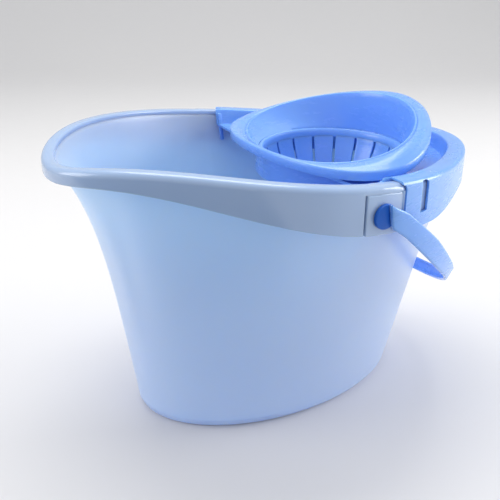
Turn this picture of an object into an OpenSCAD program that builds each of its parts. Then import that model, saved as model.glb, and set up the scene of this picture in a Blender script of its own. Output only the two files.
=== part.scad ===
// Oval mop bucket with a lift-out cone wringer, a clip-over saddle and a swinging bail handle.
// Millimetres. +Z is up, the base stands on z = 0 with its centre at the origin,
// +X points to the wringer end and -X to the pouring spout. The bail pivots lie along Y.

/* [Bucket] */
// Half-width of the rim opening, across the bucket
rim_half_w = 139; // [132:1:146]
// Rim opening from its middle to the spout end
rim_front = 184; // [180:1:190]
// Rim opening from its middle to the wringer end
rim_back = 201.5; // [196:1:206]
// Height of the rim halfway along the bucket
rim_h = 240; // [225:1:255]
// Half-length of the base outline
base_half_l = 135.8; // [125:1:142]
// Half-width of the base outline
base_half_w = 85.2; // [78:1:92]
// Thickness of the bucket wall
wall_t = 2.2; // [1.8:0.1:2.8]
// Thickness of the bucket floor
floor_t = 3; // [2:0.5:5]

/* [Rim collar] */
// Width of the collar's top, outward from the rim opening
collar_w = 12.5; // [12:0.1:13]
// Depth of the collar's outer face at the spout
collar_depth_spout = 12; // [8:1:16]
// Depth of the collar's outer face at the bail pivots
collar_depth_pivot = 38; // [34:1:42]

/* [Wringer] */
// Height of the top of the press basket
ledge_z = 225; // [222:1:227]
// Outer radius of the press basket's top
basket_r = 69.1; // [68.5:0.1:69.2]
// Outer radius of the press basket's foot
basket_foot_r = 29; // [24:1:34]
// Height of the underside of the press basket
basket_foot_z = 112; // [100:1:130]
// Number of slots between the fingers of the basket
slot_count = 18; // [12:1:20]
// Width of a slot at its top
slot_w = 2.6; // [2:0.1:4.5]
// Depth of the saddle's outer band at its clips
band_depth = 38; // [34:1:40]

/* [Bail handle] */
// Length of the bail from its pivot axis to its middle
bail_l = 226; // [224:1:236]
// Width of the strap beside its pivots
bail_w = 16.5; // [15:0.5:19]
// Thickness of the strap
bail_t = 3.6; // [3:0.1:4.5]
// How far the bail hangs below level, in degrees
bail_hang = 38; // [30:1:44]
// Radius of the pivot pins
pin_r = 6; // [4:0.5:7]

/* [Hidden] */

tub_blue = [0.62, 0.75, 0.93];
pearl_white = [0.85, 0.89, 0.95];
wringer_blue = [0.42, 0.62, 0.95];
hub_blue = [0.20, 0.42, 0.80];

round_steps = 96;          // stations round the bucket
step_deg = 360 / round_steps;

// Rim outline and height
rim_mid_x = -8;            // where the two halves of the rim outline meet
corner_cut = 0.066;        // how far the outline's diagonals are pulled in
rim_fall = 25.9;           // drop of the rim over 200 mm towards the wringer end
rim_curl = 8;              // upward curve of the rim over 200 mm
spout_dip = 22.5;          // how far the spout lip dips
spout_dip_w = 68;
x_unit = 200;

// Wall
wall_out = 2.15;           // outer wall surface, outward from the rim opening at the top
spout_flare = 0.54;        // extra outward sweep of the wall below the spout
spout_flare_w = 63;
spout_flare_pow = 4.2;
wall_belly = 0.03;
base_mid_x = -1;
foot_round = 7;            // rounding of the outer bottom edge
shell_top_drop = 4;        // top edge of the wall, below the rim line

// Collar
collar_plate_t = 4;
collar_skin = 2.2;
collar_web = 2;             // bevel between the collar's plate and its outer skin
collar_round = 2.8;         // rounding of the collar's edges
collar_grow = 195;          // length over which the collar deepens, from the spout end
collar_shallow = 11;        // depth lost again towards the wringer end
collar_shallow_x = 60;
collar_shallow_l = 130;
collar_in_band = 10.6;     // collar width where the saddle's band covers it
collar_spout_less = 2;      // how much narrower the collar is at the spout
collar_step_l = 2.5;       // length of the step between the two widths
band_front_x = 28.5;         // front edge of the band's outer face

// Pivot blocks, from the rim opening outward
block_x0 = -12;
block_x1 = 23;
block_in = 7.6;
block_out = 13.3;
block_top_drop = 5.5;
block_gap = 0.35;

// Bail pivot
pivot_x = 4;
pivot_z = 217;
pin_gap = 0.05;
hub_r = 10;
hub_in_y = 152.9;
hub_out_y = 156;
hub_tail_y = 144;
barb_r = pin_r + 0.7;
barb_l = 1.5;
strap_in_y = 156.6;
bail_pow = 1.9;
strap_start = -5.5;        // strap's end, along the strap from the pivot axis

// Side outline of the strap as [along, across]: end cut, lower edge, then back along the upper edge
strap_side = [
    [strap_start, bail_w - 8], [8, -4.4],
    [30, -3.5], [64, -5], [113, -6], [150, -5], [bail_l + 20, -4.5],
    [bail_l + 20, bail_w - 8], [150, bail_w - 8], [113, bail_w - 7], [70, bail_w - 4], [14, bail_w - 4]];

// Splash ring: outer edge (an egg), lip (its inner top edge) and the ledge circle
ring_x = 70;                // middle of the outer edge
lip_x = 68;
seat_x = 68.8;
ring_edge_a = 85.3;
ring_edge_b = 110;
ring_edge_egg = 0.23;
ring_edge_z = 239.6;
ring_edge_rise = 14.2;
ring_edge_curl = 10.85;
ring_lip_a = 69.3;
ring_lip_b = 91;
ring_lip_egg = 0.15;
ring_lip_z = 246.2;
ring_lip_rise = 17.45;
ring_lip_curl = 1.75;
edge_bevel = 1.3;           // softening of the outer edge
lip_w = 2;                  // raised lip round the funnel
lip_up = 0.6;
lip_bevel = 0.8;
groove_w = 2;               // groove outside the lip
groove_d = 0.6;
flange_bulge = 1.3;
funnel_sag = 1;
ring_skirt = 8;
ring_t = 2.5;
ring_steps = 72;
ledge_r = 69.5;
ledge_drop = 6;
seat_r = 67.8;
seat_out_r = 72.5;
seat_bottom_z = 203;
funnel_t = 3;              // height of the funnel's outer wall above the seat wall

basket_t = 3.2;            // wall of the press basket
foot_hole_r = 7;

// Saddle
saddle_end_deg = 83;       // half-angle the saddle covers, in the outline's parameter
saddle_steps = 46;
band_t = 2.5;
band_out = 14;
shelf_drop = 12;
shelf_t = 2.5;
shelf_front_deg = 136;     // where the shelf's front edge meets the basket seat
band_depth_end = 27;
band_rise_x = 62;           // where the band's lower edge starts to rise, and over what length
band_rise_l = 75;
band_over = 2.4;            // height of the saddle's top above the rim
saddle_in = 6.6;            // foot of the saddle's inner wall, inward from the rim opening
shelf_max_z = 221.5;        // the shelf stays under the splash ring
seat_gap = 0.1;
flange_front_x = 24;        // front edge of the part that lies over the collar
inside_y = 135.6;           // the saddle is cut away outside this, in front of its flange
slot_x0 = 48.5;             // slot behind the clip strap
slot_x1 = 58.5;
slot_z0 = 208;
slot_z1 = 234.9;
slot_arch_r = 6;
clip_arch_r = 5;
clip_arch_z = 236.9;
leg_x = 17;
leg_w = 3.4;
leg_y = 134.2;              // face of the leg against the bucket wall, at the rim
leg_bottom_z = 208.6;
leg_t = 4;

// ---- outline functions ----------------------------------------------------------------

function squeeze(t) = 1 - corner_cut * pow(sin(2 * t), 2);

function rim_point(t) = [
    rim_mid_x + (cos(t) > 0 ? rim_back : rim_front) * cos(t) * squeeze(t),
    rim_half_w * sin(t) * squeeze(t)];

// Unit normal of the rim outline, pointing outward
function rim_normal(t) =
    let (d = rim_point(t + 0.5) - rim_point(t - 0.5))
    [d[1], -d[0]] / norm(d);

function rim_offset(t, out) = rim_point(t) + out * rim_normal(t);

function rim_height(p) =
    rim_h - rim_fall * p[0] / x_unit + rim_curl * pow(p[0] / x_unit, 2)
    - (p[0] < 0 ? spout_dip * exp(-pow(p[1] / spout_dip_w, 2)) : 0);

// A point near the rim: out millimetres outward, up millimetres above the rim line
function rim_at(t, out, up) =
    let (p = rim_offset(t, out))
    [p[0], p[1], rim_height(rim_point(t)) + up];

function base_point(t, inset) = [
    base_mid_x + (base_half_l - inset) * cos(t),
    (base_half_w - inset) * sin(t)];

// A point of the wall at share f of its height, moved in by inset
function wall_at(t, f, inset) =
    let (
        r = rim_offset(t, wall_out - inset),
        b = base_point(t, inset),
        spout = rim_point(t)[0] < 0 ? exp(-pow(r[1] / spout_flare_w, 2)) : 0,
        g = f + wall_belly * f * (1 - f) + spout * spout_flare * (pow(f, spout_flare_pow) - f),
        p = b + (r - b) * g)
    [p[0], p[1], f * (rim_height(rim_point(t)) - shell_top_drop)];

function smooth(u) = let (c = min(1, max(0, u))) c * c * (3 - 2 * c);

function collar_depth(x) =
    collar_depth_spout + (collar_depth_pivot - collar_depth_spout) * smooth((x + x_unit) / collar_grow)
    - collar_shallow * smooth((x - collar_shallow_x) / collar_shallow_l);

function collar_width(p) =
    collar_w - (collar_w - collar_in_band) * smooth((p[0] - block_x1) / collar_step_l)
    - (p[0] < 0 ? collar_spout_less * exp(-pow(p[1] / spout_dip_w, 2)) : 0);

function band_bottom(x) =
    band_depth - (band_depth - band_depth_end) * smooth((x - band_rise_x) / band_rise_l);

// ---- mesh helpers -----------------------------------------------------------------------

// Closed surface through rings of equal length. wrap joins the last ring to the first;
// otherwise the two end rings are closed by flat caps.
module loft(rings, wrap = false) {
    n = len(rings[0]);
    m = len(rings);
    points = [for (r = rings) for (p = r) p];
    sides = [for (j = [0 : wrap ? m - 1 : m - 2]) for (i = [0 : n - 1])
        let (
            k = (i + 1) % n,
            u = (j + 1) % m,
            a = j * n + i,
            b = j * n + k,
            c = u * n + k,
            d = u * n + i)
        each [[a, b, c], [a, c, d]]];
    caps = wrap ? [] : [
        for (i = [1 : n - 2]) each [[0, i + 1, i], [(m - 1) * n, (m - 1) * n + i, (m - 1) * n + i + 1]]];
    polyhedron(points = points, faces = concat(sides, caps), convexity = 8);
}

// Open sweep of a thick path: each station is [outer chain, inner chain] of equal length
module thick_sweep(stations) {
    c = len(stations[0][0]);
    n = 2 * c;
    m = len(stations);
    points = [for (s = stations) each concat(s[0], [for (i = [c - 1 : -1 : 0]) s[1][i]])];
    sides = [for (j = [0 : m - 2]) for (i = [0 : n - 1])
        let (
            k = (i + 1) % n,
            a = j * n + i,
            b = j * n + k,
            d = (j + 1) * n + i,
            e = (j + 1) * n + k)
        each [[a, b, e], [a, e, d]]];
    last = (m - 1) * n;
    caps = [for (i = [0 : c - 2]) each [
        [i, n - 1 - i, i + 1],
        [i + 1, n - 1 - i, n - 2 - i],
        [last + i, last + i + 1, last + n - 1 - i],
        [last + i + 1, last + n - 2 - i, last + n - 1 - i]]];
    polyhedron(points = points, faces = concat(sides, caps), convexity = 8);
}

function round_list() = [for (i = [0 : round_steps - 1]) i * step_deg];

// ---- bucket -----------------------------------------------------------------------------

// Shares of the wall height, denser where the spout flares
function wall_levels() = [0.12, 0.25, 0.38, 0.5, 0.6, 0.69, 0.77, 0.84, 0.9, 0.95, 1];

function foot_ring(t, depth) =
    let (p = base_point(t, foot_round * (1 - sin(depth))))
    [p[0], p[1], foot_round * (1 - cos(depth))];

module bucket_shell() {
    top = len(wall_levels()) - 1;
    floor_side = 7;
    floor_inset = 6;
    inner_foot = [
        [for (t = round_list()) let (p = base_point(t, floor_inset)) [p[0], p[1], floor_t]],
        [for (t = round_list())
            let (p = wall_at(t, floor_side / rim_h, wall_t)) [p[0], p[1], floor_side]]];
    inner = [for (i = [0 : top]) [for (t = round_list()) wall_at(t, wall_levels()[i], wall_t)]];
    outer = [for (i = [top : -1 : 0]) [for (t = round_list()) wall_at(t, wall_levels()[i], 0)]];
    outer_foot = concat(
        [[for (t = round_list()) wall_at(t, foot_round / rim_h, 0)]],
        [for (d = [60, 30, 0]) [for (t = round_list()) foot_ring(t, d)]]);
    color(tub_blue) loft(concat(inner_foot, inner, outer, outer_foot));
}

// ---- rim collar ---------------------------------------------------------------------------

function collar_ring(t) =
    let (
        p = rim_point(t),
        w = collar_width(p),
        d = collar_depth(p[0]))
    [
        rim_at(t, 0, -collar_plate_t),
        rim_at(t, w - collar_skin - collar_web, -collar_plate_t),
        rim_at(t, w - collar_skin, -collar_plate_t - collar_web),
        rim_at(t, w - collar_skin, -d),
        rim_at(t, w, -d),
        rim_at(t, w, -collar_round),
        rim_at(t, w - 0.3 * collar_round, -0.3 * collar_round),
        rim_at(t, w - collar_round, 0),
        rim_at(t, collar_round, 0),
        rim_at(t, 0.3 * collar_round, -0.1 * collar_round),
        rim_at(t, 0, -0.4 * collar_round)
    ];

// Outline parameter where the rim opening passes a given x on its far side
function deg_at_x(x) = acos((x - rim_mid_x) / (x > rim_mid_x ? rim_back : rim_front));

function block_range(grow) = [deg_at_x(block_x1) - grow, deg_at_x(block_x0) + grow];

// A curved slab lying along the rim on the far side
module rim_slab(range, out0, out1, top, bottom, steps) {
    thick_sweep([for (i = [0 : steps])
        let (t = range[0] + (range[1] - range[0]) * i / steps)
        [[rim_at(t, out1, bottom), rim_at(t, out1, top)],
         [rim_at(t, out0, bottom), rim_at(t, out0, top)]]]);
}

module rim_collar() {
    color(pearl_white) difference() {
        loft([for (t = round_list()) collar_ring(t)], wrap = true);
        for (side = [0, 1]) mirror([0, side, 0])
            rim_slab(block_range(0.12), block_in - 0.1, block_out + 2, -block_top_drop, -60, 4);
    }
}

// ---- pivot blocks -------------------------------------------------------------------------

module pivot_block_far_side() {
    difference() {
        rim_slab(block_range(0), block_in, block_out, -block_top_drop - block_gap,
                 -collar_depth_pivot, 4);
        translate([pivot_x, hub_tail_y - 4, pivot_z]) rotate([-90, 0, 0])
            cylinder(h = 16, r = pin_r + pin_gap, $fn = 64);
    }
}

module pivot_block_near() {
    color(pearl_white) mirror([0, 1, 0]) pivot_block_far_side();
}

module pivot_block_far() {
    color(pearl_white) pivot_block_far_side();
}

// ---- wringer ------------------------------------------------------------------------------

function ring_edge(t, inset, up) =
    let (c = cos(t))
    [ring_x + (ring_edge_a - inset) * c,
     (ring_edge_b - inset) * sin(t) * (1 - ring_edge_egg * c),
     ring_edge_z + ring_edge_rise * c + ring_edge_curl * c * c + up];

function ring_lip(t, out, up) =
    let (c = cos(t))
    [lip_x + (ring_lip_a + out) * c,
     (ring_lip_b + out) * sin(t) * (1 - ring_lip_egg * c),
     ring_lip_z + ring_lip_rise * c + ring_lip_curl * c * c + up];

function seat_circle(t, r, z) = [seat_x + r * cos(t), r * sin(t), z];

// Cross-section: skirt, convex flange, groove, raised lip, funnel, ledge, basket seat, underside
function splash_profile(t) =
    let (
        edge_top = ring_edge(t, edge_bevel, 0),
        flange_in = ring_lip(t, lip_w + groove_w, 0),
        funnel_top = ring_lip(t, 0, -lip_bevel),
        ledge = seat_circle(t, ledge_r, ledge_z),
        under_out = ring_lip(t, ring_t + lip_bevel, -funnel_t - 1),
        under_in = seat_circle(t, seat_out_r, ledge_z - funnel_t))
    [
        ring_edge(t, ring_t, -ring_skirt),
        ring_edge(t, 0, -ring_skirt),
        ring_edge(t, 0, -edge_bevel),
        edge_top,
        (edge_top + flange_in) / 2 + [0, 0, flange_bulge],
        flange_in,
        ring_lip(t, lip_w + groove_w / 2, -groove_d),
        ring_lip(t, lip_w, lip_up),
        ring_lip(t, lip_bevel, lip_up),
        funnel_top,
        (funnel_top + ledge) / 2 - [0, 0, funnel_sag],
        ledge,
        seat_circle(t, ledge_r, ledge_z - ledge_drop),
        seat_circle(t, seat_r, ledge_z - ledge_drop),
        seat_circle(t, seat_r, seat_bottom_z),
        seat_circle(t, seat_out_r, seat_bottom_z),
        under_in,
        (under_out + under_in) / 2 - [0, 0, funnel_sag],
        under_out,
        ring_edge(t, ring_t + 1, -funnel_t)
    ];

module splash_ring() {
    color(wringer_blue)
        loft([for (i = [0 : ring_steps - 1]) splash_profile(i * 360 / ring_steps)], wrap = true);
}

// One station of the saddle: band, top flange over the collar, inner wall and shelf
function saddle_station(t) =
    let (
        x = rim_point(t)[0],
        d = band_bottom(x),
        shelf_t_deg = t * shelf_front_deg / saddle_end_deg,
        shelf_z = min(rim_height(rim_point(t)) - shelf_drop, shelf_max_z))
    [[
        rim_at(t, band_out, -d),
        rim_at(t, band_out, -1.6),
        rim_at(t, band_out - 1, band_over - 1.6),
        rim_at(t, band_out - 3.5, band_over - 0.2),
        rim_at(t, 0, band_over),
        rim_at(t, -2, band_over - 0.6),
        rim_at(t, -2.8, 0.6),
        rim_at(t, -saddle_in, -shelf_drop),
        seat_circle(shelf_t_deg, seat_out_r + seat_gap, shelf_z)
    ], [
        rim_at(t, band_out - band_t, -d),
        rim_at(t, band_out - band_t, -0.6),
        rim_at(t, band_out - band_t - 0.3, -0.1),
        rim_at(t, band_out - band_t - 1.1, 0.4),
        rim_at(t, 0.6, 0.6),
        rim_at(t, -0.2, 0.4),
        rim_at(t, -0.5, -0.5),
        rim_at(t, 2.1 - saddle_in, -shelf_drop - shelf_t),
        seat_circle(shelf_t_deg, seat_out_r + seat_gap, shelf_z - shelf_t)
    ]];

// Opening through the band whose upper rear corner is arched
module arched_cut(x0, x1, z0, z1, r) {
    translate([0, 220, 0]) rotate([90, 0, 0]) linear_extrude(84)
        polygon(concat(
            [[x0, z1], [x0, z0], [x1, z0]],
            [for (a = [0 : 15 : 90]) [x1 - r + r * cos(a), z1 - r + r * sin(a)]]));
}

// Leg at the saddle's front end, hanging along the bucket wall
module saddle_leg() {
    wall_lean = 10;
    translate([leg_x, 0, 0]) rotate([90, 0, 90]) linear_extrude(leg_w)
        polygon([[leg_y, rim_h - 4], [leg_y - 2.4, rim_h - 4 - wall_lean - 2.4],
                 [leg_y - 5.6, leg_bottom_z], [leg_y - 5.6 - leg_t, leg_bottom_z],
                 [leg_y - 2.4 - leg_t, rim_h - 4 - wall_lean - 2.4],
                 [leg_y - leg_t, rim_h - 4]]);
}

module wringer_saddle() {
    far = 300;
    color(wringer_blue) difference() {
        union() {
            thick_sweep([for (i = [0 : saddle_steps])
                saddle_station(-saddle_end_deg + 2 * saddle_end_deg * i / saddle_steps)]);
            for (side = [0, 1]) mirror([0, side, 0]) saddle_leg();
        }
        for (side = [0, 1]) mirror([0, side, 0]) {
            translate([flange_front_x - far, inside_y, 0]) cube([far, far, far]);
            arched_cut(0, band_front_x, 150, clip_arch_z, clip_arch_r);
            arched_cut(slot_x0, slot_x1, slot_z0, slot_z1, slot_arch_r);
        }
    }
}

module basket_profile() {
    fit = 0.4;
    lip_bottom = ledge_z - ledge_drop + 0.2;
    polygon([
        [basket_r, ledge_z],
        [basket_r, lip_bottom],
        [seat_r - fit, lip_bottom],
        [seat_r - fit, lip_bottom - 4],
        [basket_foot_r, basket_foot_z],
        [foot_hole_r, basket_foot_z],
        [foot_hole_r, basket_foot_z + basket_t],
        [basket_foot_r - basket_t - 1, basket_foot_z + basket_t],
        [seat_r - fit - basket_t, lip_bottom - 2.5],
        [seat_r - fit - basket_t, ledge_z - basket_t],
        [seat_r - fit - basket_t + 1.4, ledge_z]
    ]);
}

module press_basket() {
    slot_bottom = basket_foot_z + 12;
    slot_top = ledge_z - 5;
    slot_reach = 42;
    drain_count = 6;
    drain_r = 3;
    color(wringer_blue) translate([seat_x, 0, 0]) difference() {
        rotate_extrude($fn = 72) basket_profile();
        for (i = [0 : slot_count - 1]) rotate([0, 0, (i + 0.5) * 360 / slot_count])
            translate([basket_foot_r - 8, 0, 0]) rotate([90, 0, 90]) linear_extrude(slot_reach)
                polygon([[-slot_w / 2, slot_top], [-slot_w / 3, slot_bottom],
                         [slot_w / 3, slot_bottom], [slot_w / 2, slot_top]]);
        for (i = [0 : drain_count - 1]) rotate([0, 0, i * 360 / drain_count])
            translate([16, 0, basket_foot_z - 1]) cylinder(h = 2 * basket_t, r = drain_r, $fn = 32);
    }
}

// ---- bail handle ----------------------------------------------------------------------------

// Middle line of the strap in its own plane: u along the strap from the pivot axis, v across
function bail_line(a) = [
    strap_start + (bail_l - strap_start) * pow(abs(sin(a)), 2 / bail_pow),
    -(strap_in_y + bail_t / 2) * sign(cos(a)) * pow(abs(cos(a)), 2 / bail_pow)];

function bail_offset(a, out) =
    let (
        a0 = max(0, a - 0.5),
        a1 = min(180, a + 0.5),
        d = bail_line(a1) - bail_line(a0))
    bail_line(a) + out * [d[1], -d[0]] / norm(d);

module bail_strap() {
    steps = 60;
    reach = bail_l + 20;
    color(wringer_blue) translate([pivot_x, 0, pivot_z]) rotate([0, bail_hang, 0]) intersection() {
        linear_extrude(4 * bail_w, center = true)
            polygon(concat(
                [for (i = [0 : steps]) bail_offset(i * 180 / steps, bail_t / 2)],
                [for (i = [steps : -1 : 0]) bail_offset(i * 180 / steps, -bail_t / 2)]));
        translate([0, reach, 0]) rotate([90, 0, 0]) linear_extrude(2 * reach)
            polygon(strap_side);
    }
}

// Snap-in pin with a round head, drawn on the far side
module pivot_hub() {
    color(hub_blue) translate([pivot_x, 0, pivot_z]) rotate([-90, 0, 0]) {
        translate([0, 0, hub_in_y]) cylinder(h = hub_out_y - hub_in_y, r = hub_r, $fn = 64);
        translate([0, 0, hub_tail_y]) cylinder(h = hub_in_y - hub_tail_y + 1, r = pin_r, $fn = 64);
        translate([0, 0, hub_tail_y]) cylinder(h = barb_l, r1 = pin_r, r2 = barb_r, $fn = 64);
    }
}

module pivot_hub_near() {
    mirror([0, 1, 0]) pivot_hub();
}

module pivot_hub_far() {
    pivot_hub();
}

// ---- nodes ----------------------------------------------------------------------------------

bucket_shell();
rim_collar();
pivot_block_near();
pivot_block_far();
wringer_saddle();
splash_ring();
press_basket();
bail_strap();
pivot_hub_near();
pivot_hub_far();
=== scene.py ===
"""Looks of the oval mop bucket with its lift-out wringer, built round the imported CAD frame.

Lengths in the shape section are millimetres; fit_to_node() brings each finished piece into metres and
exactly into its CAD node's box, so every position comes from the frame.
"""

import math

import bmesh
import bpy
from mathutils import Matrix, Vector


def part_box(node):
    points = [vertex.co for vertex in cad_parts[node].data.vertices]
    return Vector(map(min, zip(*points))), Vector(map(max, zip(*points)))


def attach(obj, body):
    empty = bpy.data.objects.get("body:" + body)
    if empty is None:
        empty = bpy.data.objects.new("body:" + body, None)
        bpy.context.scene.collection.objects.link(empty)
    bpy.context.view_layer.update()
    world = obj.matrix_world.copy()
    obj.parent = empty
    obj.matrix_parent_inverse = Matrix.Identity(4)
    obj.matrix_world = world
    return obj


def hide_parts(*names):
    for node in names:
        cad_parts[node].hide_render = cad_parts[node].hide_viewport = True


MM = 0.001

# ---- shape: the CAD source's dimensions in mm, with finer edges, roundings and grooves ------

RIM_MID_X, RIM_FRONT, RIM_BACK, RIM_HALF_W = -8.0, 184.0, 201.5, 139.0
CORNER_CUT = 0.066
RIM_H, RIM_FALL, RIM_CURL, X_UNIT = 240.0, 25.9, 8.0, 200.0
SPOUT_DIP, SPOUT_DIP_W = 22.5, 68.0
BASE_MID_X, BASE_HALF_L, BASE_HALF_W = -1.0, 135.8, 85.2
WALL_OUT, WALL_T, WALL_BELLY = 2.15, 2.2, 0.03
SPOUT_FLARE, SPOUT_FLARE_W, SPOUT_FLARE_POW = 0.54, 63.0, 4.2
SHELL_TOP_DROP, FLOOR_T, FOOT_ROUND = 4.0, 3.0, 7.0
CREASE_Y, CREASE_W, CREASE_D = 47.0, 12.0, 2.0  # soft valleys beside the spout, not in the CAD solid

COLLAR_W, COLLAR_SPOUT_LESS, COLLAR_IN_BAND, COLLAR_STEP_L = 12.5, 2.0, 10.6, 2.5
COLLAR_PLATE_T, COLLAR_SKIN, COLLAR_WEB = 4.0, 2.2, 3.0
COLLAR_TOP_ROUND, COLLAR_IN_ROUND, COLLAR_FOOT_ROUND = 5.0, 2.2, 0.8
COLLAR_DEPTH_SPOUT, COLLAR_DEPTH_PIVOT, COLLAR_GROW_X, COLLAR_GROW_L = 12.0, 38.0, -200.0, 195.0
COLLAR_DEPTH_BAND_LOSS, COLLAR_LOSS_X, COLLAR_LOSS_L = 11.0, 60.0, 130.0
RECESS_GAP, RECESS_SEAM_DEG, RECESS_STEP_DEG = 0.5, 0.12, 0.02
BLOCK_X0, BLOCK_X1, BLOCK_IN, BLOCK_OUT, BLOCK_TOP_DROP = -12.0, 23.0, 7.6, 13.3, 5.85
BAND_FRONT_X, BAND_OUT, BAND_T, BAND_OVER, BAND_DEPTH, BAND_DEPTH_END = 28.5, 14.0, 2.5, 2.4, 38.0, 27.0
BAND_RISE_X, BAND_RISE_L, BAND_ROUND, BAND_IN_ROUND = 62.0, 75.0, 3.4, 2.0
CLIP_ARCH_Z, CLIP_ARCH_R = 236.9, 5.0
BAND_SLOT_X, BAND_SLOT_Z, BAND_SLOT_R = (48.5, 58.5), (208.0, 234.9), 6.0
SHELF_DROP, SHELF_T, SHELF_MAX_Z, SHELF_FRONT_DEG, SADDLE_END_DEG = 12.0, 2.5, 221.5, 136.0, 83.0
FLANGE_FRONT_X, INSIDE_Y = 24.0, 135.6
LEG_X, LEG_W, LEG_Y, LEG_T, LEG_TOP_Z, LEG_BEND_Z, LEG_FOOT_Z = 17.0, 3.4, 134.2, 4.0, 236.0, 223.6, 208.6

RING_X, LIP_X, SEAT_X = 70.0, 68.0, 68.8
EDGE_A, EDGE_B, EDGE_EGG, EDGE_Z, EDGE_RISE, EDGE_CURL = 85.3, 110.0, 0.23, 239.6, 14.2, 10.85
LIP_A, LIP_B, LIP_EGG, LIP_Z, LIP_RISE, LIP_CURL = 69.3, 91.0, 0.15, 246.2, 17.45, 1.75
RING_SKIRT, RING_T, EDGE_BEVEL, FLANGE_BULGE, FUNNEL_SAG, FUNNEL_T = 8.0, 2.5, 1.6, 1.6, 2.2, 3.0
LEDGE_Z, LEDGE_R, LEDGE_DROP, SEAT_R, SEAT_OUT_R, SEAT_BOTTOM_Z = 225.0, 69.5, 6.0, 67.8, 72.5, 203.0
BASKET_R, BASKET_T, BASKET_FIT, SLOT_COUNT, SLOT_W = 69.1, 3.2, 0.4, 18, 2.6
BASKET_FOOT_R, BASKET_FOOT_Z, FOOT_HOLE_R, FOOT_T, FOOT_H = 29.0, 112.0, 7.0, 3.0, 12.0
DRAIN_COUNT, DRAIN_AT_R, DRAIN_R = 6, 16.0, 3.0

BAIL_L, BAIL_W, BAIL_T, BAIL_POW, STRAP_START, STRAP_IN_Y = 226.0, 16.5, 3.6, 1.9, -5.5, 156.6
BAIL_HANG_DEG = 38.0
HUB_R, HUB_IN_Y, HUB_OUT_Y, PIN_R, PIN_TAIL_Y = 10.0, 152.9, 156.0, 6.0, 144.0

SEAM_W = 1.3
ROUND_STEPS = 288


def cosd(deg):
    return math.cos(math.radians(deg))


def sind(deg):
    return math.sin(math.radians(deg))


def smooth(u):
    c = min(1.0, max(0.0, u))
    return c * c * (3 - 2 * c)


def lerp(a, b, u):
    return a + (b - a) * u


def turn(steps):
    """Angles of a full turn, in degrees."""
    return [360.0 * i / steps for i in range(steps)]


def rim_point(t):
    squeeze = 1 - CORNER_CUT * sind(2 * t) ** 2
    half = RIM_BACK if cosd(t) > 0 else RIM_FRONT
    return Vector((RIM_MID_X + half * cosd(t) * squeeze, RIM_HALF_W * sind(t) * squeeze))


def rim_normal(t):
    d = rim_point(t + 0.5) - rim_point(t - 0.5)
    return Vector((d.y, -d.x)).normalized()


def rim_height(p):
    dip = SPOUT_DIP * math.exp(-((p.y / SPOUT_DIP_W) ** 2)) if p.x < 0 else 0.0
    u = p.x / X_UNIT
    return RIM_H - RIM_FALL * u + RIM_CURL * u * u - dip


def rim_at(t, out, up):
    """A point out mm outside the rim opening and up mm above the rim line."""
    p = rim_point(t)
    q = p + out * rim_normal(t)
    return Vector((q.x, q.y, rim_height(p) + up))


def base_point(t, inset):
    return Vector((BASE_MID_X + (BASE_HALF_L - inset) * cosd(t), (BASE_HALF_W - inset) * sind(t)))


def spout_crease(rim, f):
    """Depth of the soft valley on each side of the spout, deepest at two thirds of the height."""
    if rim.x > 0:
        return 0.0
    beside = math.exp(-(((abs(rim.y) - CREASE_Y) / CREASE_W) ** 2))
    return CREASE_D * beside * smooth((f - 0.25) / 0.45) * smooth((1.0 - f) / 0.2)


def wall_at(t, f, inset):
    """A point of the tub wall at share f of its height."""
    rim = rim_point(t)
    r = rim + (WALL_OUT - inset) * rim_normal(t)
    b = base_point(t, inset)
    spout = math.exp(-((r.y / SPOUT_FLARE_W) ** 2)) if rim.x < 0 else 0.0
    g = f + WALL_BELLY * f * (1 - f) + spout * SPOUT_FLARE * (f**SPOUT_FLARE_POW - f)
    p = b + (r - b) * g - spout_crease(r, f) * rim_normal(t)
    return Vector((p.x, p.y, f * (rim_height(rim) - SHELL_TOP_DROP)))


# ---- mesh helpers ------------------------------------------------------------------------


def new_object(name, verts, faces):
    mesh = bpy.data.meshes.new(name)
    mesh.from_pydata([tuple(v) for v in verts], [], faces)
    mesh.validate()
    obj = bpy.data.objects.new(name, mesh)
    bpy.context.scene.collection.objects.link(obj)
    return obj


def tidy_normals(obj, sharp_deg):
    """Face normals point outward, shading is smooth and edges above sharp_deg stay crisp."""
    bm = bmesh.new()
    bm.from_mesh(obj.data)
    bmesh.ops.remove_doubles(bm, verts=bm.verts, dist=1e-6)
    bmesh.ops.recalc_face_normals(bm, faces=bm.faces)
    bm.to_mesh(obj.data)
    bm.free()
    obj.data.polygons.foreach_set("use_smooth", [True] * len(obj.data.polygons))
    obj.data.set_sharp_from_angle(angle=math.radians(sharp_deg))


def loft(name, rings, wrap=False, cap_start=False, cap_end=False):
    """Quads through closed rings of equal length; ends may be closed by a fan to their middle."""
    n = len(rings[0])
    m = len(rings)
    verts = [p for ring in rings for p in ring]
    faces = []
    for j in range(m if wrap else m - 1):
        u = (j + 1) % m
        for i in range(n):
            k = (i + 1) % n
            faces.append((j * n + i, j * n + k, u * n + k, u * n + i))
    for wanted, first in ((cap_start, 0), (cap_end, (m - 1) * n)):
        if wanted:
            ring = verts[first : first + n]
            verts.append(sum(ring, Vector((0, 0, 0))) / n)
            middle = len(verts) - 1
            faces += [(first + i, first + (i + 1) % n, middle) for i in range(n)]
    return new_object(name, verts, faces)


def sweep(name, stations):
    """Open sweep of a closed profile, with both ends filled."""
    n = len(stations[0])
    m = len(stations)
    verts = [p for s in stations for p in s]
    faces = []
    for j in range(m - 1):
        for i in range(n):
            k = (i + 1) % n
            faces.append((j * n + i, j * n + k, (j + 1) * n + k, (j + 1) * n + i))
    faces.append(tuple(range(n)))
    faces.append(tuple(range((m - 1) * n, m * n)))
    return new_object(name, verts, faces)


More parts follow.
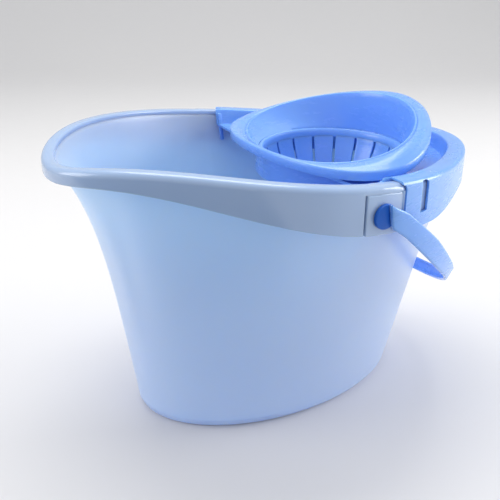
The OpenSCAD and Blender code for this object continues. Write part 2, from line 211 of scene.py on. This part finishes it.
def bake(obj):
    """Applies the object's modifiers to its mesh."""
    bpy.context.view_layer.update()
    graph = bpy.context.evaluated_depsgraph_get()
    mesh = bpy.data.meshes.new_from_object(obj.evaluated_get(graph))
    obj.modifiers.clear()
    obj.data = mesh
    return obj


def bevel(obj, width, segments=3, angle_deg=35):
    mod = obj.modifiers.new("edge rounding", "BEVEL")
    mod.width = width
    mod.segments = segments
    mod.limit_method = "ANGLE"
    mod.angle_limit = math.radians(angle_deg)
    mod.harden_normals = False
    return bake(obj)


def subtract(obj, cutter):
    mod = obj.modifiers.new("opening", "BOOLEAN")
    mod.operation = "DIFFERENCE"
    mod.solver = "EXACT"
    mod.object = cutter
    bake(obj)
    bpy.data.objects.remove(cutter)
    return obj


def join(objs, name):
    """One object out of several, keeping every face."""
    bm = bmesh.new()
    for o in objs:
        bm.from_mesh(o.data)
        bpy.data.objects.remove(o)
    mesh = bpy.data.meshes.new(name)
    bm.to_mesh(mesh)
    bm.free()
    obj = bpy.data.objects.new(name, mesh)
    bpy.context.scene.collection.objects.link(obj)
    return obj


def mirrored(obj, name):
    """A copy of obj on the other side of the XZ plane."""
    copy = bpy.data.objects.new(name, obj.data.copy())
    copy.data.transform(Matrix.Scale(-1, 4, (0, 1, 0)))
    copy.data.flip_normals()
    bpy.context.scene.collection.objects.link(copy)
    return copy


def bounds_of(obj):
    xs = [v.co for v in obj.data.vertices]
    low = Vector([min(p[a] for p in xs) for a in range(3)])
    high = Vector([max(p[a] for p in xs) for a in range(3)])
    return low, high


def fit_to_node(obj, node):
    """Scales a piece built in millimetres into its CAD node's box, in metres."""
    low, high = bounds_of(obj)
    node_low, node_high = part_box(node)
    scale = Vector([(node_high[a] - node_low[a]) / (high[a] - low[a]) for a in range(3)])
    for v in obj.data.vertices:
        v.co = Vector([node_low[a] + (v.co[a] - low[a]) * scale[a] for a in range(3)])
    return obj


def finish_piece(obj, node, body, material, sharp_deg=40, edge=0.0):
    """Fits, rounds, shades, colours and attaches a piece that stands for a CAD node."""
    fit_to_node(obj, node)
    if edge:
        bevel(obj, edge * MM)
    tidy_normals(obj, sharp_deg)
    obj.data.materials.clear()
    obj.data.materials.append(material)
    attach(obj, body)
    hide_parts(node)
    return obj


# ---- materials -----------------------------------------------------------------------------


class Nodes:
    """Short names for building a node tree."""

    def __init__(self, material):
        material.use_nodes = True
        self.tree = material.node_tree
        self.shader = self.tree.nodes["Principled BSDF"]
        self.coords = self.add("ShaderNodeTexCoord").outputs["Object"]

    def add(self, kind, **inputs):
        node = self.tree.nodes.new(kind)
        for name, value in inputs.items():
            node.inputs[name.replace("_", " ")].default_value = value
        return node

    def link(self, source, target):
        self.tree.links.new(source, target)

    def noise(self, scale, detail, roughness=0.5, stretch=(1, 1, 1)):
        mapping = self.add("ShaderNodeMapping", Scale=stretch)
        self.link(self.coords, mapping.inputs["Vector"])
        noise = self.add("ShaderNodeTexNoise", Scale=scale, Detail=detail, Roughness=roughness)
        self.link(mapping.outputs["Vector"], noise.inputs["Vector"])
        return noise.outputs["Fac"]

    def spread(self, source, low, high, from_low=0.3, from_high=0.7):
        node = self.add("ShaderNodeMapRange")
        node.inputs["From Min"].default_value = from_low
        node.inputs["From Max"].default_value = from_high
        node.inputs["To Min"].default_value = low
        node.inputs["To Max"].default_value = high
        self.link(source, node.inputs["Value"])
        return node.outputs["Result"]

    def mix_color(self, factor, a, b, blend="MIX"):
        node = self.tree.nodes.new("ShaderNodeMix")
        node.data_type = "RGBA"
        node.blend_type = blend
        for socket, value in ((node.inputs[0], factor), (node.inputs[6], a), (node.inputs[7], b)):
            if isinstance(value, bpy.types.NodeSocket):
                self.link(value, socket)
            elif isinstance(value, (int, float)):
                socket.default_value = value
            else:
                socket.default_value = (*value, 1.0)
        return node.outputs[2]

    def edge_wear(self, reach, amount):
        """Mask of the edges: amount where a rounded normal leans off the face normal, 0 on flat faces."""
        rounded = self.tree.nodes.new("ShaderNodeBevel")
        rounded.samples = 4
        rounded.inputs["Radius"].default_value = reach
        face = self.add("ShaderNodeNewGeometry").outputs["Normal"]
        lean = self.tree.nodes.new("ShaderNodeVectorMath")
        lean.operation = "DOT_PRODUCT"
        self.link(rounded.outputs["Normal"], lean.inputs[0])
        self.link(face, lean.inputs[1])
        return self.spread(lean.outputs["Value"], amount, 0.0, 0.86, 0.98)

    def bump(self, height, strength, distance, normal=None):
        node = self.add("ShaderNodeBump", Strength=strength, Distance=distance)
        self.link(height, node.inputs["Height"])
        if normal is not None:
            self.link(normal, node.inputs["Normal"])
        return node.outputs["Normal"]


def moulded_plastic(name, color, dark, worn, roughness, grain, subsurface=0.0, reach=0.01,
                    specular=0.5, coat=0.0):
    """Injection-moulded plastic: clouded colour, faint flow lines, scuffs, paler worn edges and fine grain.

    Colours are linear RGB, grain is the scale of the fine bump and reach is how far light spreads, in metres.
    """
    material = bpy.data.materials.new(name)
    n = Nodes(material)
    cloud = n.noise(9.0, 4.0)
    flow = n.noise(14.0, 3.0, stretch=(1.0, 1.0, 0.12))
    scuff = n.noise(120.0, 6.0, 0.65, stretch=(0.25, 0.25, 1.0))
    base = n.mix_color(n.spread(cloud, 0.0, 0.55), color, dark)
    base = n.mix_color(n.spread(flow, 0.0, 0.22), base, worn)
    base = n.mix_color(n.edge_wear(0.0012, 0.5), base, worn)
    n.link(base, n.shader.inputs["Base Color"])
    n.link(n.spread(scuff, roughness * 0.97, roughness * 1.04), n.shader.inputs["Roughness"])
    fine = n.bump(n.noise(grain, 2.0), 0.12, 0.00003)
    waves = n.bump(n.noise(8.0, 0.0), 0.15, 0.0010, fine)
    n.link(waves, n.shader.inputs["Normal"])
    n.shader.inputs["Specular IOR Level"].default_value = specular
    n.shader.inputs["Coat Weight"].default_value = coat
    n.shader.inputs["Coat Roughness"].default_value = 0.12
    if subsurface:
        n.shader.inputs["Subsurface Weight"].default_value = subsurface
        n.shader.inputs["Subsurface Radius"].default_value = (0.6, 0.8, 1.0)
        n.shader.inputs["Subsurface Scale"].default_value = reach
    return material


def tub_plastic():
    return moulded_plastic("tub_plastic", (0.45, 0.57, 0.94), (0.42, 0.54, 0.92), (0.52, 0.64, 0.96),
                           roughness=0.32, grain=900.0, subsurface=0.85, reach=0.012, specular=0.7)


def collar_plastic():
    return moulded_plastic("collar_plastic", (0.38, 0.52, 0.76), (0.35, 0.49, 0.73), (0.47, 0.60, 0.81),
                           roughness=0.20, grain=1100.0, subsurface=0.2, reach=0.003, coat=0.5)


def wringer_plastic():
    return moulded_plastic("wringer_plastic", (0.18, 0.40, 0.91), (0.155, 0.37, 0.89), (0.25, 0.48, 0.95),
                           roughness=0.27, grain=1000.0, subsurface=0.4, reach=0.005, coat=0.3)


def hub_plastic():
    return moulded_plastic("hub_plastic", (0.012, 0.13, 0.60), (0.010, 0.10, 0.52), (0.03, 0.18, 0.68),
                           roughness=0.42, grain=1200.0, specular=0.3)


# ---- pieces --------------------------------------------------------------------------------


def tub():
    """Bucket wall, rounded top edge and foot, and the inside down to the floor."""
    wall_steps = 72
    top_round = WALL_T / 2

    def level(f, inset):
        return [wall_at(t, f, inset) for t in turn(ROUND_STEPS)]

    def foot(depth_deg):
        inset = FOOT_ROUND * (1 - sind(depth_deg))
        ring = [base_point(t, inset) for t in turn(ROUND_STEPS)]
        return [Vector((p.x, p.y, FOOT_ROUND * (1 - cosd(depth_deg)))) for p in ring]

    start = FOOT_ROUND / RIM_H
    shares = [lerp(start, 1.0, i / wall_steps) for i in range(wall_steps + 1)]
    outer = [foot(d) for d in range(0, 90, 12)] + [level(f, 0.0) for f in shares]
    edge = []
    for a in (30, 60, 90, 120, 150):
        edge.append([wall_at(t, 1.0, top_round * (1 - cosd(a))) + Vector((0, 0, top_round * (sind(a) - 1)))
                     for t in turn(ROUND_STEPS)])
    outer_top = [p - Vector((0, 0, top_round)) for p in outer.pop()]
    inner = [level(f, WALL_T) for f in reversed(shares[:-1])]
    floor_round = 8.0
    for a in (20, 40, 60, 80):
        inset = WALL_T + floor_round * (1 - cosd(a))
        ring = []
        for t in turn(ROUND_STEPS):
            p = base_point(t, inset)
            ring.append(Vector((p.x, p.y, FLOOR_T + floor_round * (1 - sind(a)))))
        inner.append(ring)
    low = FLOOR_T + floor_round
    inner = [ring for i, ring in enumerate(inner) if i >= wall_steps or ring[0].z > low]
    return loft("tub", outer + [outer_top] + edge + inner, cap_start=True, cap_end=True)


def collar_depth(x):
    growth = smooth((x - COLLAR_GROW_X) / COLLAR_GROW_L)
    depth = COLLAR_DEPTH_SPOUT + (COLLAR_DEPTH_PIVOT - COLLAR_DEPTH_SPOUT) * growth
    return depth - COLLAR_DEPTH_BAND_LOSS * smooth((x - COLLAR_LOSS_X) / COLLAR_LOSS_L)


def collar_width(p):
    less = COLLAR_SPOUT_LESS * math.exp(-((p.y / SPOUT_DIP_W) ** 2)) if p.x < 0 else 0.0
    return COLLAR_W - (COLLAR_W - COLLAR_IN_BAND) * smooth((p.x - BLOCK_X1) / COLLAR_STEP_L) - less


def round_corner(middle, radius, start_deg, end_deg, steps=5):
    """Points (out, up) of a rounded corner."""
    points = []
    for i in range(steps + 1):
        a = lerp(start_deg, end_deg, i / steps)
        points.append((middle[0] + radius * cosd(a), middle[1] + radius * sind(a)))
    return points


def collar_profile(t, recess):
    """Cross-section of the collar; recess pulls its outer face in behind a pivot block."""
    rim = rim_point(t)
    w = collar_width(rim)
    d = collar_depth(rim.x)
    face = BLOCK_IN - RECESS_GAP if recess else w
    foot, top, inner = COLLAR_FOOT_ROUND, COLLAR_TOP_ROUND, COLLAR_IN_ROUND
    points = [(0, -COLLAR_PLATE_T), (w - COLLAR_SKIN - COLLAR_WEB, -COLLAR_PLATE_T)]
    points += [(face - COLLAR_SKIN, -COLLAR_PLATE_T - COLLAR_WEB), (face - COLLAR_SKIN, -d)]
    points += round_corner((face - foot, -d + foot), foot, -90, 0, 3)
    if recess:
        points += [(face, -BLOCK_TOP_DROP + 0.05), (w - 0.1, -BLOCK_TOP_DROP + 0.05)]
    else:
        points += [(face, -BLOCK_TOP_DROP), (face, -BLOCK_TOP_DROP + 0.1)]
    points += round_corner((w - top, -top), top, 0, 90, 8)
    points += round_corner((inner, -inner), inner, 90, 180, 5)
    return [rim_at(t, o, h) for o, h in points]


def deg_at_x(x):
    half = RIM_BACK if x > RIM_MID_X else RIM_FRONT
    return math.degrees(math.acos((x - RIM_MID_X) / half))


def collar():
    """White rim collar, with a recess for each pivot block."""
    first = deg_at_x(BLOCK_X1) - RECESS_SEAM_DEG
    last = deg_at_x(BLOCK_X0 - SEAM_W)
    step = RECESS_STEP_DEG
    stations = []
    for t in turn(ROUND_STEPS):
        inside = first < min(t, 360 - t) < last
        stations.append((t, inside))
    for side in (1, -1):
        for t, inside in ((first - step, False), (first, True), (last, True), (last + step, False)):
            stations.append(((side * t) % 360, inside))
    stations.sort()
    return loft("collar", [collar_profile(t, inside) for t, inside in stations], wrap=True)


def pivot_block():
    """Pad of the far bail pivot, curved with the collar."""
    first = deg_at_x(BLOCK_X1)
    last = deg_at_x(BLOCK_X0)
    steps = 24
    stations = []
    for i in range(steps + 1):
        t = lerp(first, last, i / steps)
        top = -BLOCK_TOP_DROP
        stations.append([rim_at(t, BLOCK_IN, -BAND_DEPTH), rim_at(t, BLOCK_OUT, -BAND_DEPTH),
                         rim_at(t, BLOCK_OUT, top), rim_at(t, BLOCK_IN, top)])
    return sweep("pivot_block", stations)


def ring_edge(t, inset, up):
    c = cosd(t)
    return Vector((RING_X + (EDGE_A - inset) * c, (EDGE_B - inset) * sind(t) * (1 - EDGE_EGG * c),
                   EDGE_Z + EDGE_RISE * c + EDGE_CURL * c * c + up))


def ring_lip(t, out, up):
    c = cosd(t)
    return Vector((LIP_X + (LIP_A + out) * c, (LIP_B + out) * sind(t) * (1 - LIP_EGG * c),
                   LIP_Z + LIP_RISE * c + LIP_CURL * c * c + up))


def seat_circle(t, r, z):
    return Vector((SEAT_X + r * cosd(t), r * sind(t), z))


def splash_profile(t):
    """Skirt, convex flange, groove, raised lip, funnel wall, ledge and basket seat."""
    up = Vector((0, 0, 1))
    edge_out = ring_edge(t, 0, -EDGE_BEVEL)
    edge_top = ring_edge(t, EDGE_BEVEL, 0)
    flange_in = ring_lip(t, 5.0, -0.2)
    flange_middle = (edge_top + flange_in) / 2 + FLANGE_BULGE * up
    groove_out = ring_lip(t, 3.6, -0.1)
    groove = ring_lip(t, 2.7, -1.1)
    lip_out = ring_lip(t, 1.8, -0.2)
    lip_top = ring_lip(t, 0.9, 0.4)
    lip_in = ring_lip(t, 0.1, -0.4)
    ledge = seat_circle(t, LEDGE_R, LEDGE_Z)
    funnel = [lip_in.lerp(ledge, u) - FUNNEL_SAG * math.sin(math.pi * u) * up
              for u in (0.12, 0.3, 0.5, 0.7, 0.88)]
    under = ring_lip(t, 3.4, -4.5)
    under_seat = seat_circle(t, SEAT_OUT_R, LEDGE_Z - FUNNEL_T)
    return [
        ring_edge(t, RING_T, -RING_SKIRT), ring_edge(t, RING_T - 0.5, -RING_SKIRT - 0.3),
        ring_edge(t, 0.4, -RING_SKIRT - 0.3), ring_edge(t, 0, -RING_SKIRT),
        ring_edge(t, 0, -RING_SKIRT / 2), edge_out, ring_edge(t, 0.5, -0.5), edge_top,
        edge_top.lerp(flange_middle, 0.5) + 0.5 * up, flange_middle,
        flange_middle.lerp(flange_in, 0.5) + 0.4 * up, flange_in,
        groove_out, groove, lip_out, ring_lip(t, 1.4, 0.2), lip_top, ring_lip(t, 0.4, 0.2), lip_in,
        *funnel, ledge,
        seat_circle(t, LEDGE_R, LEDGE_Z - LEDGE_DROP), seat_circle(t, SEAT_R, LEDGE_Z - LEDGE_DROP),
        seat_circle(t, SEAT_R, SEAT_BOTTOM_Z), seat_circle(t, SEAT_OUT_R, SEAT_BOTTOM_Z),
        under_seat, under_seat.lerp(under, 0.5) - FLANGE_BULGE * up, under,
        ring_edge(t, RING_T + 1, -FUNNEL_T)]


def splash_ring():
    return loft("splash_ring", [splash_profile(t) for t in turn(240)], wrap=True)


def band_bottom(x):
    return BAND_DEPTH - (BAND_DEPTH - BAND_DEPTH_END) * smooth((x - BAND_RISE_X) / BAND_RISE_L)


def saddle_profile(t):
    """Cross-section of the saddle, from the band's foot over the rim and down to the shelf."""
    d = band_bottom(rim_point(t).x)
    shelf_z = min(rim_height(rim_point(t)) - SHELF_DROP, SHELF_MAX_Z)
    shelf_deg = t * SHELF_FRONT_DEG / SADDLE_END_DEG
    outer = [(BAND_OUT, -d + 0.4), (BAND_OUT, -d / 2)]
    outer += round_corner((BAND_OUT - BAND_ROUND, BAND_OVER - BAND_ROUND - 0.2), BAND_ROUND, 0, 86, 7)
    outer += [(5, BAND_OVER), (0, BAND_OVER)]
    outer += round_corner((-0.8, BAND_OVER - BAND_IN_ROUND), BAND_IN_ROUND, 80, 172, 4)
    outer += [(-4.7, -SHELF_DROP / 2), (-5.8, -SHELF_DROP + 1.5), (-6.6, -SHELF_DROP)]
    under = [(BAND_OUT - BAND_T, -d + 0.4), (BAND_OUT - BAND_T, -0.6), (10.4, 0.4), (0.6, 0.6),
             (-0.2, 0.4), (-0.5, -0.5), (-4.5, -SHELF_DROP - SHELF_T)]
    seat_r = SEAT_OUT_R + 0.1
    ring = [rim_at(t, o, h) for o, h in outer]
    ring.append(seat_circle(shelf_deg, seat_r, shelf_z))
    ring.append(seat_circle(shelf_deg, seat_r, shelf_z - SHELF_T))
    ring += [rim_at(t, o, h) for o, h in reversed(under)]
    ring += [rim_at(t, BAND_OUT - BAND_T + 0.5, -d), rim_at(t, BAND_OUT - 0.5, -d)]
    return ring


def solid_between(name, start, end):
    """Closed solid between two outlines with the same number of points."""
    n = len(start)
    faces = [tuple(range(n)), tuple(range(2 * n - 1, n - 1, -1))]
    faces += [(i, (i + 1) % n, n + (i + 1) % n, n + i) for i in range(n)]
    obj = new_object(name, start + end, faces)
    tidy_normals(obj, 40)
    return obj


def arched_cutter(x0, x1, z0, z1, r, side):
    """Cutter through one side of the band whose upper rear corner is arched."""
    outline = [(x0, z1), (x0, z0), (x1, z0)]
    outline += [(x1 - r + r * cosd(a), z1 - r + r * sind(a)) for a in range(0, 91, 9)]
    near, far = 136.0, 220.0
    start, end = ([Vector((x, side * y, z)) for x, z in outline] for y in (near, far))
    return solid_between("cutter", start, end)


def prism(name, outline, x0, x1, side=1):
    """Prism between two x values; outline holds (y, z) points of its cross-section."""
    start, end = ([Vector((x, side * y, z)) for y, z in outline] for x in (x0, x1))
    return solid_between(name, start, end)


def saddle_leg(side):
    """Leg at the saddle's front end, hanging along the bucket wall."""
    outside = [(LEG_Y, LEG_TOP_Z), (LEG_Y - 2.4, LEG_BEND_Z), (LEG_Y - 5.6, LEG_FOOT_Z)]
    outline = outside + [(y - LEG_T, z) for y, z in reversed(outside)]
    return bevel(prism("saddle_leg", outline, LEG_X, LEG_X + LEG_W, side), 0.7, 2)


def saddle():
    steps = 180
    degs = [lerp(-SADDLE_END_DEG, SADDLE_END_DEG, i / steps) for i in range(steps + 1)]
    body = sweep("saddle", [saddle_profile(t) for t in degs])
    tidy_normals(body, 40)
    outside = [(INSIDE_Y, 0), (INSIDE_Y, 300), (400, 300), (400, 0)]
    for side in (1, -1):
        subtract(body, prism("cutter", outside, -300, FLANGE_FRONT_X, side))
        subtract(body, arched_cutter(0, BAND_FRONT_X, 150, CLIP_ARCH_Z, CLIP_ARCH_R, side))
        subtract(body, arched_cutter(*BAND_SLOT_X, *BAND_SLOT_Z, BAND_SLOT_R, side))
    return join([body, saddle_leg(1), saddle_leg(-1)], "saddle")


def basket_wall(z):
    """Outer radius of the basket's cone at a height."""
    top = LEDGE_Z - LEDGE_DROP - 4
    return lerp(BASKET_FOOT_R, SEAT_R - BASKET_FIT, (z - BASKET_FOOT_Z) / (top - BASKET_FOOT_Z))


def basket_finger(index, z0, z1):
    """One pressed-in finger panel between two slots, bowed a little towards the middle."""
    across, along = 8, 18
    half_turn = 180.0 / SLOT_COUNT
    middle_deg = index * 2 * half_turn
    rings = []
    for j in range(along + 1):
        v = j / along
        z = lerp(z0, z1, v)
        r = min(basket_wall(z), SEAT_R - BASKET_FIT)
        gap = math.degrees(lerp(SLOT_W / 3, SLOT_W / 2, v) / r)
        line = []
        for side in (0, 1):
            for i in range(across + 1):
                u = i / across if side == 0 else 1 - i / across
                deg = middle_deg + lerp(-half_turn + gap, half_turn - gap, u)
                bow = 0.9 * math.sin(math.pi * u) * math.sin(math.pi * min(1.0, v * 1.2))
                rr = r - (BASKET_T if side else 0) - bow
                line.append(seat_circle(deg, rr, z))
        rings.append(line)
    return sweep(f"finger_{index}", rings)


def drain_drill(deg):
    """Cutter for one drain hole of the basket's foot."""
    middle = seat_circle(deg, DRAIN_AT_R, 0)
    hole = [middle + Vector((DRAIN_R * cosd(t), DRAIN_R * sind(t), 0)) for t in turn(24)]
    levels = [[p + Vector((0, 0, z)) for p in hole] for z in (BASKET_FOOT_Z - 5, BASKET_FOOT_Z + 9)]
    drill = loft("cutter", levels, cap_start=True, cap_end=True)
    tidy_normals(drill, 40)
    return drill


def basket():
    """Press basket: top ring, slotted fingers and a drained foot."""
    top_z = LEDGE_Z
    lip_z = LEDGE_Z - LEDGE_DROP
    wall_r = SEAT_R - BASKET_FIT
    top_ring = [(BASKET_R - 0.5, top_z), (BASKET_R, top_z - 0.5), (BASKET_R, lip_z + 0.2),
                (wall_r, lip_z + 0.2), (wall_r, lip_z - 2), (wall_r - BASKET_T, lip_z - 2),
                (wall_r - BASKET_T, top_z - 2.6), (SEAT_R - 2.4, top_z - 0.6), (SEAT_R - 1.6, top_z)]
    ring = loft("basket_top", [[seat_circle(t, r, z) for r, z in top_ring] for t in turn(144)], wrap=True)
    foot_top = BASKET_FOOT_Z + FOOT_H
    foot_r = basket_wall(foot_top)
    foot = [(FOOT_HOLE_R, BASKET_FOOT_Z), (BASKET_FOOT_R, BASKET_FOOT_Z), (foot_r, foot_top),
            (foot_r - BASKET_T - 0.2, foot_top), (BASKET_FOOT_R - 4, BASKET_FOOT_Z + FOOT_T),
            (FOOT_HOLE_R, BASKET_FOOT_Z + FOOT_T)]
    cup = loft("basket_foot", [[seat_circle(t, r, z) for r, z in foot] for t in turn(144)], wrap=True)
    tidy_normals(cup, 40)
    for deg in turn(DRAIN_COUNT):
        subtract(cup, drain_drill(deg))
    slots_top = LEDGE_Z - LEDGE_DROP - 0.6
    fingers = [basket_finger(i, foot_top - 1, slots_top) for i in range(SLOT_COUNT)]
    for f in fingers:
        tidy_normals(f, 40)
        bevel(f, 0.7, 3)
    return join([ring, cup, *fingers], "basket")


def bail_line(a):
    u = STRAP_START + (BAIL_L - STRAP_START) * abs(sind(a)) ** (2 / BAIL_POW)
    v = -(STRAP_IN_Y + BAIL_T / 2) * math.copysign(abs(cosd(a)) ** (2 / BAIL_POW), cosd(a))
    return Vector((u, v))


def strap_section():
    """(out, across) points of the cross-section: rounded edges, a shallow channel on the inner face."""
    half_w, half_t, r, rail, depth = BAIL_W / 2, BAIL_T / 2, 1.5, 2.6, 1.1
    points = round_corner((half_t - r, half_w - r), r, 0, 90, 4)
    points += round_corner((-half_t + r, half_w - r), r, 90, 180, 4)
    points += [(-half_t, half_w - rail), (-half_t + depth, half_w - rail - 0.9)]
    points += [(-half_t + depth, -half_w + rail + 0.9), (-half_t, -half_w + rail)]
    points += round_corner((-half_t + r, -half_w + r), r, 180, 270, 4)
    points += round_corner((half_t - r, -half_w + r), r, 270, 360, 4)
    return points


# (along the strap, across it) points of its lower and upper edge
STRAP_LOWER = [(STRAP_START, BAIL_W - 8), (8, -4.4), (30, -3.5), (64, -5), (113, -6), (150, -5), (250, -4.5)]
STRAP_UPPER = [(STRAP_START, BAIL_W - 8), (14, BAIL_W - 4), (70, BAIL_W - 4), (113, BAIL_W - 7),
               (150, BAIL_W - 8), (250, BAIL_W - 8)]


def along(points, u):
    """Value at u of the broken line through points."""
    for (u0, a0), (u1, a1) in zip(points, points[1:]):
        if u <= u1:
            return lerp(a0, a1, max(0.0, (u - u0) / (u1 - u0)))
    return points[-1][1]


def strap():
    """Curved bail strap, built level and then hung."""
    steps = 160
    section = strap_section()
    hang = Matrix.Rotation(math.radians(BAIL_HANG_DEG), 3, "Y")
    stations = []
    for i in range(steps + 1):
        a = 180.0 * i / steps
        d = bail_line(min(180, a + 0.5)) - bail_line(max(0, a - 0.5))
        normal = Vector((d.y, -d.x)).normalized()
        middle = bail_line(a)
        line = []
        low, high = along(STRAP_LOWER, middle.x), along(STRAP_UPPER, middle.x)
        for out, across in section:
            p = middle + out * normal
            share = across / BAIL_W + 0.5
            line.append(hang @ Vector((p.x, p.y, lerp(low, max(high, low + 0.3), share))))
        stations.append(line)
    return sweep("strap", stations)


def hub(name):
    """Far pivot: round head with a softened rim, and its barbed pin."""
    profile = [(HUB_R - 1.2, HUB_OUT_Y), (HUB_R - 0.35, HUB_OUT_Y - 0.35), (HUB_R, HUB_OUT_Y - 1.2),
               (HUB_R, HUB_IN_Y + 0.3), (HUB_R - 0.3, HUB_IN_Y), (PIN_R, HUB_IN_Y),
               (PIN_R, PIN_TAIL_Y + 2.6), (PIN_R + 0.7, PIN_TAIL_Y + 1.5), (PIN_R, PIN_TAIL_Y)]
    rings = [[Vector((r * cosd(t), y, r * sind(t))) for t in turn(96)] for r, y in profile]
    return loft(name, rings, cap_start=True, cap_end=True)


# ---- stage ---------------------------------------------------------------------------------

CAMERA_PLACE = (-0.3291, -0.5194, 0.4062)
CAMERA_YAW = math.radians(30.65)
CAMERA_PITCH = math.radians(24.07)
CAMERA_LENS = 50.4

def studio_floor():
    """Pale sweep: a flat floor that curves up into a backdrop behind the object."""
    half, back, radius, height, steps = 6.0, 3.2, 1.6, 4.0, 24
    line = [(-half, 0.0)]
    for i in range(steps + 1):
        a = 90.0 * i / steps
        line.append((back - radius + radius * sind(a), radius * (1 - cosd(a))))
    line.append((back, height))
    verts, faces = [], []
    for y, z in line:
        verts += [Vector((-half, y, z)), Vector((half, y, z))]
    for i in range(len(line) - 1):
        faces.append((2 * i, 2 * i + 1, 2 * i + 3, 2 * i + 2))
    floor = new_object("studio_floor", verts, faces)
    floor.data.polygons.foreach_set("use_smooth", [True] * len(floor.data.polygons))
    floor.data.transform(Matrix.Rotation(-CAMERA_YAW, 4, "Z"))
    material = bpy.data.materials.new("studio_paper")
    n = Nodes(material)
    patches = n.spread(n.noise(1.5, 3.0), 0.0, 0.6)
    tone = n.mix_color(patches, (0.76, 0.755, 0.75), (0.74, 0.735, 0.735))
    n.link(tone, n.shader.inputs["Base Color"])
    n.link(n.spread(n.noise(40.0, 4.0), 0.55, 0.7), n.shader.inputs["Roughness"])
    floor.data.materials.append(material)
    return floor


def dark_card():
    """Dark card on the floor in front of the object, unseen by the camera; it deepens the near side."""
    left, right, back, front, lift = -1.3, 0.12, -1.8, 0.36, 0.002
    verts = [Vector((x, y, lift)) for x, y in ((left, back), (right, back), (right, front), (left, front))]
    card = new_object("dark_card", verts, [(0, 1, 2, 3)])
    place = Vector((CAMERA_PLACE[0], CAMERA_PLACE[1], 0))
    card.data.transform(Matrix.Translation(place) @ Matrix.Rotation(-CAMERA_YAW, 4, "Z"))
    material = bpy.data.materials.new("card_felt")
    n = Nodes(material)
    felt = n.mix_color(n.spread(n.noise(60.0, 4.0), 0.0, 1.0), (0.015, 0.025, 0.05), (0.025, 0.035, 0.07))
    n.link(felt, n.shader.inputs["Base Color"])
    n.shader.inputs["Roughness"].default_value = 0.9
    card.data.materials.append(material)
    card.visible_camera = False
    card.visible_shadow = False


def area_light(name, place, aim, size, power, color=(1, 1, 1)):
    data = bpy.data.lights.new(name, "AREA")
    data.shape = "RECTANGLE"
    data.size, data.size_y = size
    data.energy = power
    data.color = color
    light = bpy.data.objects.new(name, data)
    light.location = place
    light.rotation_euler = (Vector(aim) - Vector(place)).to_track_quat("-Z", "Y").to_euler()
    bpy.context.scene.collection.objects.link(light)
    return light


def studio_lights():
    """Broad softboxes at both ends and above; the camera side stays darker."""
    aim = (0.0, 0.0, 0.14)
    area_light("top_softbox", (0.15, 0.45, 1.5), aim, (1.2, 0.9), 13, (1.0, 0.99, 0.98))
    area_light("left_softbox", (-1.7, 0.75, 0.75), aim, (1.0, 1.1), 11)
    area_light("right_softbox", (1.6, -0.55, 0.6), aim, (0.9, 1.0), 17)
    world = bpy.data.worlds.new("studio_air")
    world.use_nodes = True
    background = world.node_tree.nodes["Background"]
    background.inputs["Color"].default_value = (0.96, 0.97, 1.0, 1)
    background.inputs["Strength"].default_value = 0.72
    bpy.context.scene.world = world


def camera():
    data = bpy.data.cameras.new("camera")
    data.lens = CAMERA_LENS
    data.sensor_width = 36.0
    data.clip_start = 0.02
    cam = bpy.data.objects.new("camera", data)
    cam.location = CAMERA_PLACE
    cam.rotation_euler = (math.radians(90) - CAMERA_PITCH, 0.0, -CAMERA_YAW)
    bpy.context.scene.collection.objects.link(cam)
    bpy.context.scene.camera = cam


# ---- build -----------------------------------------------------------------------------------


def build_pieces():
    blue_tub = tub_plastic()
    white = collar_plastic()
    blue = wringer_plastic()
    deep_blue = hub_plastic()
    finish_piece(tub(), "bucket_shell", "bucket", blue_tub, 50)
    finish_piece(collar(), "rim_collar", "bucket", white, 40)
    block = pivot_block()
    near_block = mirrored(block, "pivot_block_near_pad")
    finish_piece(near_block, "pivot_block_near", "bucket", white, 40, edge=1.1)
    finish_piece(block, "pivot_block_far", "bucket", white, 40, edge=1.1)
    finish_piece(saddle(), "wringer_saddle", "wringer", blue, 35)
    finish_piece(splash_ring(), "splash_ring", "wringer", blue, 55)
    finish_piece(basket(), "press_basket", "wringer", blue, 35)
    finish_piece(strap(), "bail_strap", "bail", blue, 40)
    far_hub = hub("hub_far")
    near_hub = mirrored(far_hub, "hub_near")
    finish_piece(near_hub, "pivot_hub_near", "bail", deep_blue, 40)
    finish_piece(far_hub, "pivot_hub_far", "bail", deep_blue, 40)


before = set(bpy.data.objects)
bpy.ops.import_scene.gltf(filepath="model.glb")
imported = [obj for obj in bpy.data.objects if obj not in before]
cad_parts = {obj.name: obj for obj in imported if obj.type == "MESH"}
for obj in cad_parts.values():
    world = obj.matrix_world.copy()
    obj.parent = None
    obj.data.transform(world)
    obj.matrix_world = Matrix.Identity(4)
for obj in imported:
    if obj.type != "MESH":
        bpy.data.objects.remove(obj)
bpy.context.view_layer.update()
build_pieces()
studio_floor()
dark_card()
studio_lights()
camera()
bpy.context.scene.view_settings.view_transform = "Standard"
